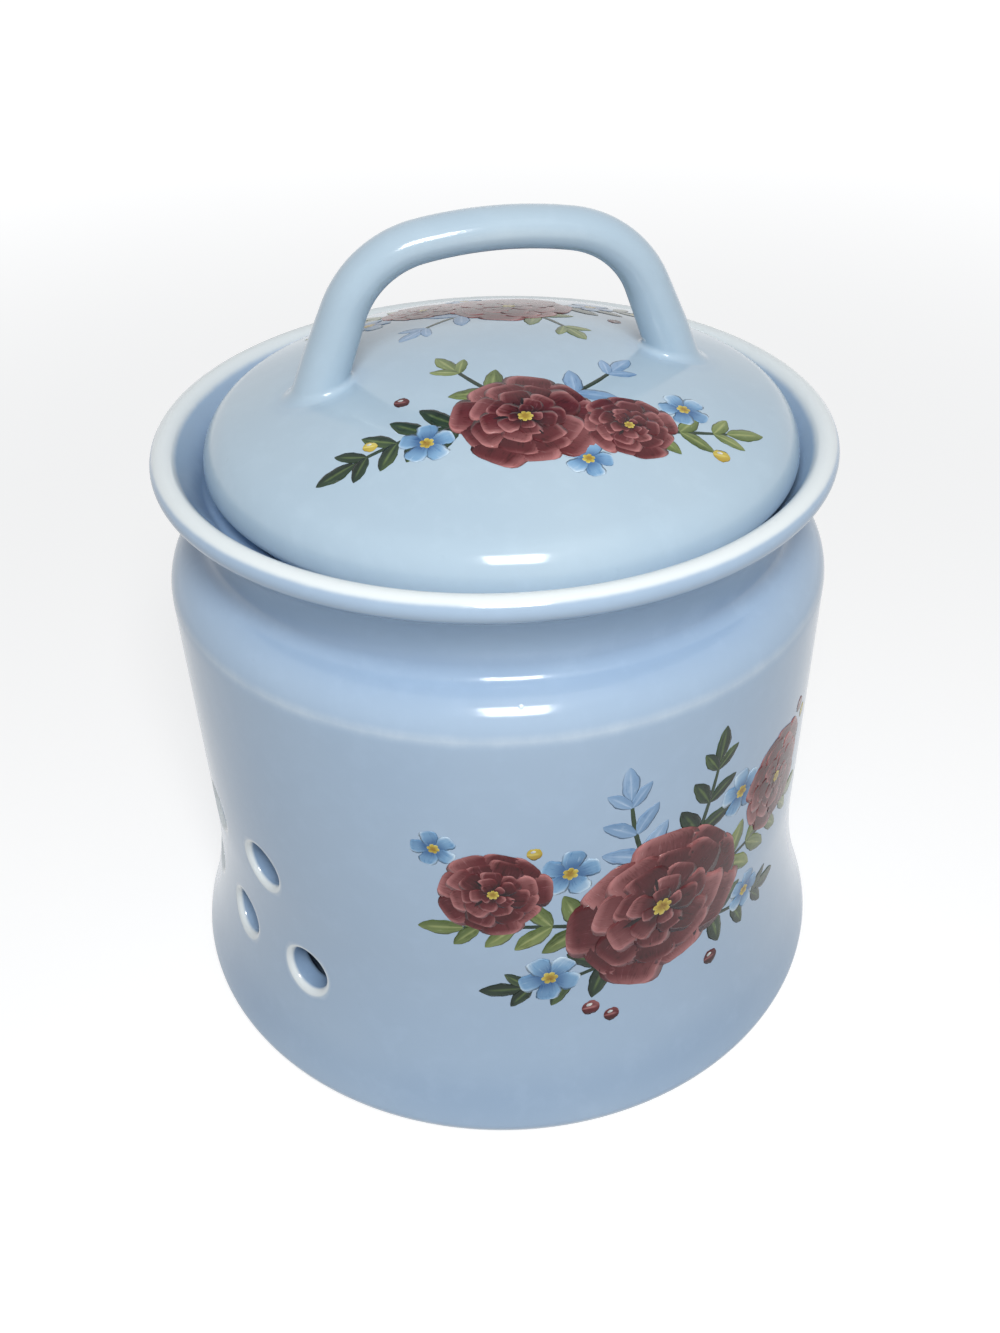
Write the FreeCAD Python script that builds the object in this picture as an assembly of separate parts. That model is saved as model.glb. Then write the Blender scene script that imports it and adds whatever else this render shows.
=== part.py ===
import FreeCAD, Part
import math
import os

# Garlic keeper: a glazed stoneware jar with vent holes, and a loose domed lid with a strap handle.
# Millimetres, +Z up. The origin is the middle of the foot, on the table. The vents face -Y.

# Jar, outside. The foot, neck and rim are counted from the body, and the neck and shoulder from the rim
body_radius = 61.0
rim_top = 116.9
skirt_spread = 6.5
skirt_top = 39.0
foot_round = 2.2
shoulder_round = 8.5
shoulder_rise = 10.9
neck_inset = 7.8
neck_drop = 16.0
rim_spread = 7.3
lip_round = 2.2

# Jar, wall and underside
wall = 5.0
floor_thickness = 5.5
floor_round = 7.0
foot_recess = 2.0
foot_ring_width = 5.0
recess_slope = 3.0

# Lid seat, a ledge sunk in the rim
seat_depth = 8.4
seat_width = 3.6
seat_edge_round = 1.0

# Vent holes, three low and two high between them
vent_radius = 4.5
vent_edge_round = 1.3
vent_low_height = 26.0
vent_row_rise = 20.5
vent_low_count = 3
vent_pitch_deg = 19.0

# Lid
lid_overhang = 1.0
lid_edge_rise = 4.5
lid_edge_round = 1.8
lid_shoulder_round = 8.0
dome_rise = 16.5
lid_wall = 4.5
lid_inner_round = 6.0
seat_clearance = 1.6
seat_face_width = 3.0
flange_thickness = 4.0
flange_depth = 7.0

# The lid lies in its loose seat a little to one side, by this share of the clearance
lid_play_share = 0.75
lid_play_azimuth_deg = 147.0

# Strap handle: the middle line of the strap, then its half sizes
handle_azimuth_deg = 158.7
foot_inset = 21.3
handle_rise = 20.5
leg_lean_deg = 23.0
handle_corner_round = 18.0
handle_top_round = 74.0
strap_half_thickness = 3.4
strap_half_width = 4.4
leg_half_thickness = 4.7
leg_half_width = 5.0
foot_fillet = 2.6
fillet_share = 0.93
foot_sink = 4.0

# Sizes that follow from the ones above
base_radius = body_radius + skirt_spread
neck_radius = body_radius - neck_inset
neck_inner_radius = neck_radius - wall
neck_height = rim_top - neck_drop
body_top = neck_height - shoulder_rise
rim_radius = neck_radius + rim_spread
seat_radius = neck_inner_radius + seat_width
seat_height = rim_top - seat_depth
vent_high_height = vent_low_height + vent_row_rise
flange_radius = neck_inner_radius - seat_clearance
flange_inner_radius = flange_radius - flange_thickness
lid_radius = seat_radius + lid_overhang
lid_edge_height = seat_height + lid_edge_rise
lid_top = lid_edge_height + dome_rise
lid_play = lid_play_share * seat_clearance
foot_reach = lid_radius - foot_inset
handle_height = lid_top + handle_rise
crown_side = lid_radius - lid_shoulder_round
crown_radius = (crown_side**2 + dome_rise**2 - lid_shoulder_round**2) / (2 * (dome_rise - lid_shoulder_round))
crown_centre_height = lid_top - crown_radius


def point(r, z):
    """A point of a half section: r out from the axis, z up."""
    return FreeCAD.Vector(r, 0, z)


def line(start, end):
    """A straight edge of a half section."""
    return Part.LineSegment(point(*start), point(*end)).toShape()


def on_circle(centre, radius, degrees):
    """The point of a circle at an angle, counted from +X towards +Z."""
    turn = math.radians(degrees)
    return centre[0] + radius * math.cos(turn), centre[1] + radius * math.sin(turn)


def arc(centre, radius, start_deg, end_deg):
    """A round edge of a half section, from one angle to another."""
    start = on_circle(centre, radius, start_deg)
    middle = on_circle(centre, radius, (start_deg + end_deg) / 2)
    end = on_circle(centre, radius, end_deg)
    return Part.Arc(point(*start), point(*middle), point(*end)).toShape()


def angle_to(centre, target):
    """The angle of the direction from one point to another."""
    return math.degrees(math.atan2(target[1] - centre[1], target[0] - centre[0]))


def hollow_round(side_radius, side_height, centre, radius):
    """Radius of the hollow curve that leaves a side upright at a height and touches a convex round."""
    across = side_radius - centre[0]
    up = side_height - centre[1]
    return (across**2 + up**2 - radius**2) / (2 * (radius - across))


def touch_angle(centre, radius, outside, side):
    """Angle on a circle where the tangent from a point outside touches it. Side is 1 or -1."""
    reach = math.hypot(outside[0] - centre[0], outside[1] - centre[1])
    return angle_to(centre, outside) + side * math.degrees(math.acos(radius / reach))


def turned(edges):
    """The solid of revolution about Z of a closed half section."""
    face = Part.Face(Part.Wire(edges))
    return face.revolve(FreeCAD.Vector(0, 0, 0), FreeCAD.Vector(0, 0, 1), 360)


def jar_blank():
    """The jar before its vents are cut: one closed half section, turned."""
    foot_centre = (base_radius - foot_round, foot_round)
    skirt_hollow = hollow_round(body_radius, skirt_top, foot_centre, foot_round)
    skirt_centre = (body_radius + skirt_hollow, skirt_top)
    shoulder_centre = (body_radius - shoulder_round, body_top)
    neck_hollow = hollow_round(neck_radius, neck_height, shoulder_centre, shoulder_round)
    neck_centre = (neck_radius + neck_hollow, neck_height)
    lip_centre = (rim_radius - lip_round, rim_top - lip_round)
    flare_hollow = hollow_round(neck_radius, neck_height, lip_centre, lip_round)
    flare_centre = (neck_radius + flare_hollow, neck_height)

    skirt_angle = angle_to(skirt_centre, foot_centre) % 360
    shoulder_angle = angle_to(shoulder_centre, neck_centre)
    lip_start = angle_to(lip_centre, flare_centre)
    lip_end = touch_angle(lip_centre, lip_round, (seat_radius, seat_height), -1) % 360
    lip_inside = on_circle(lip_centre, lip_round, lip_end)

    floor_top = foot_recess + floor_thickness
    corner_height = floor_top + floor_round
    inner_skirt = skirt_hollow + wall
    corner_reach = inner_skirt + floor_round
    corner_across = math.sqrt(corner_reach**2 - (skirt_top - corner_height) ** 2)
    corner_centre = (skirt_centre[0] - corner_across, corner_height)
    corner_angle = angle_to(corner_centre, skirt_centre)
    foot_inner = base_radius - foot_round - foot_ring_width

    return turned([
        line((0, foot_recess), (foot_inner - recess_slope, foot_recess)),
        line((foot_inner - recess_slope, foot_recess), (foot_inner, 0)),
        line((foot_inner, 0), (foot_centre[0], 0)),
        arc(foot_centre, foot_round, -90, skirt_angle - 180),
        arc(skirt_centre, skirt_hollow, skirt_angle, 180),
        line((body_radius, skirt_top), (body_radius, body_top)),
        arc(shoulder_centre, shoulder_round, 0, shoulder_angle),
        arc(neck_centre, neck_hollow, 180 + shoulder_angle, 180),
        arc(flare_centre, flare_hollow, 180, 180 + lip_start),
        arc(lip_centre, lip_round, lip_start, lip_end),
        line(lip_inside, (seat_radius, seat_height)),
        line((seat_radius, seat_height), (neck_inner_radius + seat_edge_round, seat_height)),
        arc((neck_inner_radius + seat_edge_round, seat_height - seat_edge_round), seat_edge_round, 90, 180),
        line((neck_inner_radius, seat_height - seat_edge_round), (neck_inner_radius, neck_height)),
        arc(neck_centre, neck_hollow + wall, 180, 180 + shoulder_angle),
        arc(shoulder_centre, shoulder_round - wall, shoulder_angle, 0),
        line((body_radius - wall, body_top), (body_radius - wall, skirt_top)),
        arc(skirt_centre, inner_skirt, 180, 180 + corner_angle),
        arc(corner_centre, floor_round, corner_angle, -90),
        line((corner_centre[0], floor_top), (0, floor_top)),
        line((0, floor_top), (0, foot_recess)),
    ])


def vent_places():
    """Angle from the front and height of each vent: a low row, and a high row in its gaps."""
    places = []
    for row, height in enumerate((vent_low_height, vent_high_height)):
        count = vent_low_count - row
        for index in range(count):
            places.append(((index - (count - 1) / 2) * vent_pitch_deg, height))
    return places


def vent_direction(degrees):
    """Outward direction of a vent, counted from -Y towards +X."""
    turn = math.radians(degrees)
    return FreeCAD.Vector(math.sin(turn), -math.cos(turn), 0)


def make_jar():
    """The jar with its vents, their outer edges rounded as glaze rounds them."""
    shape = jar_blank()
    mouths = []
    for degrees, height in vent_places():
        start = vent_direction(degrees) * (body_radius - 2 * wall)
        start.z = height
        drill = Part.makeCylinder(vent_radius, 4 * wall, start, vent_direction(degrees))
        shape = shape.cut(drill)
        mouths.append((vent_direction(degrees) * body_radius, height))
    rims = []
    for edge in shape.Edges:
        middle = edge.BoundBox.Center
        small = edge.BoundBox.ZLength < 3 * vent_radius and edge.BoundBox.DiagonalLength < 6 * vent_radius
        for mouth, height in mouths:
            near = math.hypot(middle.x - mouth.x, middle.y - mouth.y) < wall / 2
            if small and near and abs(middle.z - height) < vent_radius and edge.Length > 4 * vent_radius:
                rims.append(edge)
    return shape.makeFillet(vent_edge_round, rims)


def dome_edges():
    """Top of the dome, from the axis out to its widest edge."""
    side_centre = (crown_side, lid_edge_height)
    crown_centre = (0, crown_centre_height)
    meet = angle_to(crown_centre, side_centre)
    return [
        arc(crown_centre, crown_radius, 90, meet),
        arc(side_centre, lid_shoulder_round, meet, 0),
    ]


def lid_place():
    """Where the lid's axis stands, as the lid lies to one side of its seat."""
    return vent_direction(lid_play_azimuth_deg) * lid_play


def make_lid():
    """The hollow dome with its seat face and the flange that hangs in the neck."""
    edge_centre = (lid_radius - lid_edge_round, lid_edge_height)
    seat_outer = (flange_radius + seat_face_width, seat_height)
    edge_end = touch_angle(edge_centre, lid_edge_round, seat_outer, 1)
    edge_point = on_circle(edge_centre, lid_edge_round, edge_end)
    flange_round = flange_thickness / 2
    flange_bottom = seat_height - flange_depth + flange_round
    flange_middle = flange_radius - flange_round
    inner_crown = crown_radius - lid_wall
    inner_side = flange_inner_radius - lid_inner_round
    inner_rise = math.sqrt((inner_crown - lid_inner_round) ** 2 - inner_side**2)
    inner_centre = (inner_side, crown_centre_height + inner_rise)
    crown_centre = (0, crown_centre_height)
    inner_meet = angle_to(crown_centre, inner_centre)
    shape = turned(dome_edges() + [
        arc(edge_centre, lid_edge_round, 0, edge_end),
        line(edge_point, seat_outer),
        line(seat_outer, (flange_radius, seat_height)),
        line((flange_radius, seat_height), (flange_radius, flange_bottom)),
        arc((flange_middle, flange_bottom), flange_round, 0, -180),
        line((flange_inner_radius, flange_bottom), (flange_inner_radius, inner_centre[1])),
        arc(inner_centre, lid_inner_round, 0, inner_meet),
        arc(crown_centre, inner_crown, inner_meet, 90),
        line((0, crown_centre_height + inner_crown), (0, lid_top)),
    ])
    shape.translate(lid_place())
    return shape


def dome_block():
    """A filled dome, which shapes the feet of the handle."""
    shape = turned(dome_edges() + [
        line((lid_radius, lid_edge_height), (lid_radius, seat_height)),
        line((lid_radius, seat_height), (0, seat_height)),
        line((0, seat_height), (0, lid_top)),
    ])
    shape.translate(lid_place())
    return shape


def dome_height(r):
    """Height of the dome's crown at a distance from the lid's axis."""
    return crown_centre_height + math.sqrt(crown_radius**2 - r**2)


def handle_path():
    """Half of the strap's middle line: top arc, corner arc and straight leg, with the angle where they meet."""
    lean = math.radians(leg_lean_deg)
    outward = (math.cos(lean), math.sin(lean))
    upward = (-math.sin(lean), math.cos(lean))
    foot = (foot_reach, dome_height(foot_reach))
    top_centre = (0, handle_height - handle_top_round)
    across = foot[0] - handle_corner_round * outward[0] - top_centre[0]
    up = foot[1] - handle_corner_round * outward[1] - top_centre[1]
    along = across * upward[0] + up * upward[1]
    reach = handle_top_round - handle_corner_round
    leg = -along + math.sqrt(along**2 - across**2 - up**2 + reach**2)
    corner = (top_centre[0] + across + leg * upward[0], top_centre[1] + up + leg * upward[1])
    return foot, upward, leg, corner, top_centre, angle_to(top_centre, corner)


def strap_place(distance):
    """Place and outward angle on the middle line, at a distance up from the foot."""
    foot, upward, leg, corner, top_centre, meet_deg = handle_path()
    corner_length = handle_corner_round * math.radians(meet_deg - leg_lean_deg)
    if distance <= leg:
        return (foot[0] + distance * upward[0], foot[1] + distance * upward[1]), leg_lean_deg
    if distance <= leg + corner_length:
        degrees = leg_lean_deg + math.degrees((distance - leg) / handle_corner_round)
        return on_circle(corner, handle_corner_round, degrees), degrees
    degrees = meet_deg + math.degrees((distance - leg - corner_length) / handle_top_round)
    return on_circle(top_centre, handle_top_round, degrees), degrees


def half_length():
    """Length of the middle line from the foot to the top of the arch."""
    leg, meet_deg = handle_path()[2], handle_path()[5]
    corner_length = handle_corner_round * math.radians(meet_deg - leg_lean_deg)
    return leg + corner_length + handle_top_round * math.radians(90 - meet_deg)


def strap_oval(distance, side, spread=0.0):
    """One oval of the strap, square to its middle line. It swells towards the foot."""
    place, degrees = strap_place(distance)
    ease = max(handle_height - place[1], 0) / (handle_height - dome_height(foot_reach))
    half_thickness = strap_half_thickness + (leg_half_thickness - strap_half_thickness) * ease + spread
    half_width = strap_half_width + (leg_half_width - strap_half_width) * ease + spread
    turn = math.radians(degrees)
    normal = FreeCAD.Vector(side * math.cos(turn), 0, math.sin(turn))
    centre = FreeCAD.Vector(side * place[0], 0, place[1])
    across = FreeCAD.Vector(0, 1, 0)
    oval = Part.Ellipse(centre + across * half_width, centre + normal * half_thickness, centre)
    return Part.Wire(oval.toShape())


def make_arch():
    """The strap between its two fillets: ovals evenly spaced over the arch."""
    top = half_length()
    steps = 12
    climb = [foot_fillet + (top - foot_fillet) * step / steps for step in range(steps + 1)]
    ovals = [strap_oval(distance, -1) for distance in climb]
    ovals += [strap_oval(distance, 1) for distance in reversed(climb[:-1])]
    return Part.makeLoft(ovals, True, False)


def make_foot(side):
    """One foot: a hollow fillet that spreads over the dome, and a stub that the dome cuts off."""
    steps = 6
    ovals = []
    for step in range(steps + 1):
        share = fillet_share * step / steps
        spread = foot_fillet * (1 - math.sqrt(1 - share**2))
        ovals.append(strap_oval(foot_fillet * (1 - step / steps), side, spread))
    flare = Part.makeLoft(ovals, True, False)
    stub = Part.makeLoft([strap_oval(0, side, spread), strap_oval(-foot_sink, side, spread)], True, True)
    return flare.fuse(stub)


def make_handle():
    """The strap, turned to its place on the lid and seated on the dome."""
    strap = make_arch().fuse([make_foot(-1), make_foot(1)]).removeSplitter()
    strap.rotate(FreeCAD.Vector(0, 0, 0), FreeCAD.Vector(0, 0, 1), handle_azimuth_deg - 90)
    strap.translate(lid_place())
    return strap.cut(dome_block())


os.makedirs("parts", exist_ok=True)
pieces = {"jar": make_jar(), "lid": make_lid(), "lid_handle": make_handle()}
for name, shape in pieces.items():
    solid = shape.Solids[0]
    print(name, len(shape.Solids), shape.isValid(), round(shape.Volume, 1), shape.optimalBoundingBox())
    solid.exportStep("parts/" + name + ".step")
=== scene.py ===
"""Looks of a glazed stoneware garlic keeper: a jar with vents and a loose domed lid with a strap handle."""

import math

import bmesh
import bpy
import numpy as np
from mathutils import Matrix, Vector


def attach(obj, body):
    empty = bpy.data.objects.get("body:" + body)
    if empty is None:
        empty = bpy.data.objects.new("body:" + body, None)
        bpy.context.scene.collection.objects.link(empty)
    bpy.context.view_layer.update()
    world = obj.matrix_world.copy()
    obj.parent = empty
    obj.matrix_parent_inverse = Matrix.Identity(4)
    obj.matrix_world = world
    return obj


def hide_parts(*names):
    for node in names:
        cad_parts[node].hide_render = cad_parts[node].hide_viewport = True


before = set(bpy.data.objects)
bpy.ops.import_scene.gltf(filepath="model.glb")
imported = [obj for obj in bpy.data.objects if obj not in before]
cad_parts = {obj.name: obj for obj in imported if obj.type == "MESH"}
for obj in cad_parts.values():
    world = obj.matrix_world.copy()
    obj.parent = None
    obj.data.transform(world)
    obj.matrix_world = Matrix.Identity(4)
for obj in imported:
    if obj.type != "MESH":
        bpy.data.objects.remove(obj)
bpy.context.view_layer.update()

# Sizes are in millimetres until a mesh is made
MM = 0.001

# Jar, outside
BODY_RADIUS = 61.0
RIM_TOP = 116.9
SKIRT_SPREAD = 6.5
SKIRT_TOP = 39.0
FOOT_ROUND = 2.2
SHOULDER_ROUND = 8.5
SHOULDER_RISE = 10.9
NECK_INSET = 7.8
NECK_DROP = 16.0
RIM_SPREAD = 7.3
LIP_ROUND = 2.2

# Jar, wall, underside and lid seat
WALL = 5.0
FLOOR_THICKNESS = 5.5
FLOOR_ROUND = 7.0
FOOT_RECESS = 2.0
FOOT_RING_WIDTH = 5.0
RECESS_SLOPE = 3.0
SEAT_DEPTH = 8.4
SEAT_WIDTH = 3.6
SEAT_EDGE_ROUND = 1.0

# Vents, three low and two high between them, each in the middle of its own cell of the wall
VENT_RADIUS = 4.5
VENT_ROUND = 1.3
VENT_LOW_HEIGHT = 26.0
VENT_ROW_RISE = 20.5
VENT_PITCH = 19.0
CELL_REACH = 10.0
CELL_STEPS = 20

# Lid
LID_OVERHANG = 1.0
LID_EDGE_RISE = 4.5
LID_EDGE_ROUND = 1.8
LID_SHOULDER_ROUND = 8.0
DOME_RISE = 16.5
LID_WALL = 4.5
LID_INNER_ROUND = 6.0
SEAT_CLEARANCE = 1.6
SEAT_FACE_WIDTH = 3.0
FLANGE_THICKNESS = 4.0
FLANGE_DEPTH = 7.0

# The lid lies a little to one side in its seat, by this share of the clearance
LID_PLAY_SHARE = 0.75
LID_PLAY_AZIMUTH = 147.0

# Strap handle: its middle line, then its half thickness and half width at the top and at the foot
HANDLE_AZIMUTH = 158.7
FOOT_INSET = 21.3
HANDLE_RISE = 20.5
LEAN = math.radians(23)
CORNER_ROUND = 18.0
TOP_ROUND = 74.0
TOP_THICK, TOP_WIDE = 3.4, 4.4
LEG_THICK, LEG_WIDE = 4.4, 4.7
FLARE = 1.4
FLARE_START = 4.6

# The camera stands at this azimuth of the part's frame
VIEW_TURN = 57.0


def direction(azimuth):
    """Outward direction seen from above: sine and minus cosine of the azimuth, in degrees."""
    turn = math.radians(azimuth)
    return np.array([math.sin(turn), -math.cos(turn)])


def on_circle(centre, radius, degrees):
    """The point of a circle at an angle, counted from the outward direction towards the upward one."""
    turn = math.radians(degrees)
    return centre[0] + radius * math.cos(turn), centre[1] + radius * math.sin(turn)


def turned(x, y, degrees):
    """Places in the plan turned about its middle."""
    sine, cosine = math.sin(math.radians(degrees)), math.cos(math.radians(degrees))
    return x * cosine - y * sine, x * sine + y * cosine


def angle_to(centre, target):
    """The angle of the direction from one point to another."""
    return math.degrees(math.atan2(target[1] - centre[1], target[0] - centre[0]))


def hollow_round(side_radius, side_height, centre, radius):
    """Radius of the hollow curve that leaves a side upright at a height and touches a convex round."""
    across = side_radius - centre[0]
    up = side_height - centre[1]
    return (across**2 + up**2 - radius**2) / (2 * (radius - across))


def touch_angle(centre, radius, outside, side):
    """Angle on a circle where the tangent from a point outside touches it. Side is 1 or -1."""
    reach = math.hypot(outside[0] - centre[0], outside[1] - centre[1])
    return angle_to(centre, outside) + side * math.degrees(math.acos(radius / reach))


# Sizes that follow from the ones above
NECK_RADIUS = BODY_RADIUS - NECK_INSET
NECK_INNER_RADIUS = NECK_RADIUS - WALL
NECK_HEIGHT = RIM_TOP - NECK_DROP
BODY_TOP = NECK_HEIGHT - SHOULDER_RISE
SEAT_RADIUS = NECK_INNER_RADIUS + SEAT_WIDTH
SEAT_HEIGHT = RIM_TOP - SEAT_DEPTH
FLOOR_TOP = FOOT_RECESS + FLOOR_THICKNESS
FOOT_CENTRE = (BODY_RADIUS + SKIRT_SPREAD - FOOT_ROUND, FOOT_ROUND)
LIP_CENTRE = (NECK_RADIUS + RIM_SPREAD - LIP_ROUND, RIM_TOP - LIP_ROUND)
SKIRT_HOLLOW = hollow_round(BODY_RADIUS, SKIRT_TOP, FOOT_CENTRE, FOOT_ROUND)

VENT_HIGH_HEIGHT = VENT_LOW_HEIGHT + VENT_ROW_RISE
CELL_LOW = VENT_LOW_HEIGHT - CELL_REACH
CELL_MIDDLE = VENT_HIGH_HEIGHT - CELL_REACH
CELL_HIGH = VENT_HIGH_HEIGHT + CELL_REACH

FLANGE_RADIUS = NECK_INNER_RADIUS - SEAT_CLEARANCE
FLANGE_INNER_RADIUS = FLANGE_RADIUS - FLANGE_THICKNESS
LID_RADIUS = SEAT_RADIUS + LID_OVERHANG
LID_EDGE_HEIGHT = SEAT_HEIGHT + LID_EDGE_RISE
LID_TOP = LID_EDGE_HEIGHT + DOME_RISE
CROWN_SIDE = LID_RADIUS - LID_SHOULDER_ROUND
CROWN_RADIUS = (CROWN_SIDE**2 + DOME_RISE**2 - LID_SHOULDER_ROUND**2) / 2 / (DOME_RISE - LID_SHOULDER_ROUND)
CROWN_HEIGHT = LID_TOP - CROWN_RADIUS
LID_CENTRE = direction(LID_PLAY_AZIMUTH) * LID_PLAY_SHARE * SEAT_CLEARANCE

HANDLE_LINE = direction(HANDLE_AZIMUTH)
HANDLE_TOP = LID_TOP + HANDLE_RISE
FOOT_REACH = LID_RADIUS - FOOT_INSET
FOOT_HEIGHT = CROWN_HEIGHT + math.sqrt(CROWN_RADIUS**2 - FOOT_REACH**2)


def arc(centre, radius, start, end, steps):
    """Points on a circle at angles that run evenly from start to end, in degrees."""
    angle = np.radians(np.linspace(start, end, steps + 1))
    return np.stack([centre[0] + radius * np.cos(angle), centre[1] + radius * np.sin(angle)], 1)


def line(start, end, steps):
    """Points that divide a straight line evenly."""
    share = np.linspace(0, 1, steps + 1)[:, None]
    return (1 - share) * np.array(start, float) + share * np.array(end, float)


def chain(*runs):
    """Runs joined end to end, each without the first point, which the run before it already has."""
    return np.concatenate([runs[0]] + [run[1:] for run in runs[1:]])


def wall_radius(radius, hollow, z):
    """Radius of a wall that stands upright above the skirt's top and spreads in a hollow arc below it."""
    drop = np.minimum(np.asarray(z, float) - SKIRT_TOP, 0)
    return np.where(drop < 0, radius + hollow - np.sqrt(hollow**2 - drop**2), radius)


def wall_outside(z):
    """Outer radius of the jar's wall at a height."""
    return wall_radius(BODY_RADIUS, SKIRT_HOLLOW, z)


def wall_inside(z):
    """Inner radius of the jar's wall at a height: its arc has the same centre as the outer one."""
    return wall_radius(BODY_RADIUS - WALL, SKIRT_HOLLOW + WALL, z)


def wall_run(radius, start, end, steps):
    """Points of the wall at heights that run evenly from start to end."""
    heights = np.linspace(start, end, steps + 1)
    return np.stack([radius(heights), heights], 1)


def smooth(x, low, high):
    """Rises from 0 at low to 1 at high, along three t squared less two t cubed."""
    t = np.clip((np.asarray(x, float) - low) / (high - low), 0, 1)
    return t * t * (3 - 2 * t)


def bell(x, middle, width):
    """A bell curve of height one: e to the minus square of the distance over the width."""
    return np.exp(-(((np.asarray(x, float) - middle) / width) ** 2))


def bands(x, *rows):
    """The sum of bell curves, each given by its middle, its width and its strength."""
    return sum(strength * bell(x, middle, width) for middle, width, strength in rows)


def sheet_faces(rows, columns, closed, first=0):
    """Faces of a grid of points numbered row by row. A closed grid joins its last column to its first."""
    index = first + np.arange(rows * columns).reshape(rows, columns)
    if closed:
        index = np.concatenate([index, index[:, :1]], 1)
    return np.stack([index[:-1, :-1], index[:-1, 1:], index[1:, 1:], index[1:, :-1]], -1)


def closed_ends(rows, columns):
    """Triangles that close a grid's first and last rows round two poles, numbered next after the grid."""
    here = np.arange(columns)
    there = (here + 1) % columns
    last = (rows - 1) * columns
    pole = np.full(columns, rows * columns)
    low = np.stack([pole, there, here], 1)
    high = np.stack([pole + 1, last + here, last + there], 1)
    return np.concatenate([low, high])


def make_piece(name, body, points, quads, triangles=(), numbers=None, colours=None, uv=None):
    """A mesh from points in millimetres, its faces and its values per point, with doubles merged."""
    mesh = bpy.data.meshes.new(name)
    quads = np.asarray(quads, np.int64).reshape(-1, 4)
    triangles = np.asarray(triangles, np.int64).reshape(-1, 3)
    mesh.from_pydata((np.asarray(points) * MM).tolist(), [], quads.tolist() + triangles.tolist())
    for key, values in (numbers or {}).items():
        layer = mesh.attributes.new(key, "FLOAT", "POINT")
        layer.data.foreach_set("value", np.asarray(values, np.float32).clip(0, 1).ravel())
    for key, values in (colours or {}).items():
        rgba = np.concatenate([values, np.ones((len(values), 1))], 1)
        layer = mesh.attributes.new(key, "FLOAT_COLOR", "POINT")
        layer.data.foreach_set("color", rgba.astype(np.float32).ravel())
    if uv is not None:
        corners = np.empty(len(mesh.loops), np.int32)
        mesh.loops.foreach_get("vertex_index", corners)
        layer = mesh.uv_layers.new(name="strokes")
        layer.data.foreach_set("uv", np.asarray(uv, np.float32)[corners].ravel())
    work = bmesh.new()
    work.from_mesh(mesh)
    bmesh.ops.remove_doubles(work, verts=work.verts, dist=4e-7)
    work.to_mesh(mesh)
    work.free()
    mesh.shade_smooth()
    piece = bpy.data.objects.new(name, mesh)
    bpy.context.scene.collection.objects.link(piece)
    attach(piece, body)
    return piece


def make_lid_piece(name, points, poles, thin_and_highlight, pool_and_shade):
    """A piece of the lid from a closed grid of points with a pole at each end, and its glaze's values."""
    rows, columns = points.shape[:2]
    spread = [np.append(np.broadcast_to(value, (rows, columns)), [0, 0]) for value in (thin_and_highlight, pool_and_shade)]
    values = {"thin_and_highlight": spread[0], "pool_and_shade": spread[1]}
    all_points = np.concatenate([points.reshape(-1, 3), poles])
    quads, ends = sheet_faces(rows, columns, True), closed_ends(rows, columns)
    return make_piece(name, "lid", all_points, quads, ends, values)


def turned_points(profile, azimuths, centre=(0.0, 0.0)):
    """A profile of radius and height turned round an upright axis, with a row for each of its points."""
    turn = np.radians(azimuths)[None, :]
    radius, height = profile[:, :1], profile[:, 1:]
    x = centre[0] + radius * np.sin(turn)
    y = centre[1] - radius * np.cos(turn)
    return np.stack([x, y, np.broadcast_to(height, x.shape)], -1)


def vent_places():
    """Azimuth and height of each vent, with the lower and upper border of its cell."""
    low_row = [(step * VENT_PITCH, VENT_LOW_HEIGHT, CELL_LOW, CELL_MIDDLE) for step in (-1, 0, 1)]
    high_row = [(step * VENT_PITCH, VENT_HIGH_HEIGHT, CELL_MIDDLE, CELL_HIGH) for step in (-0.5, 0.5)]
    return low_row + high_row


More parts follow.
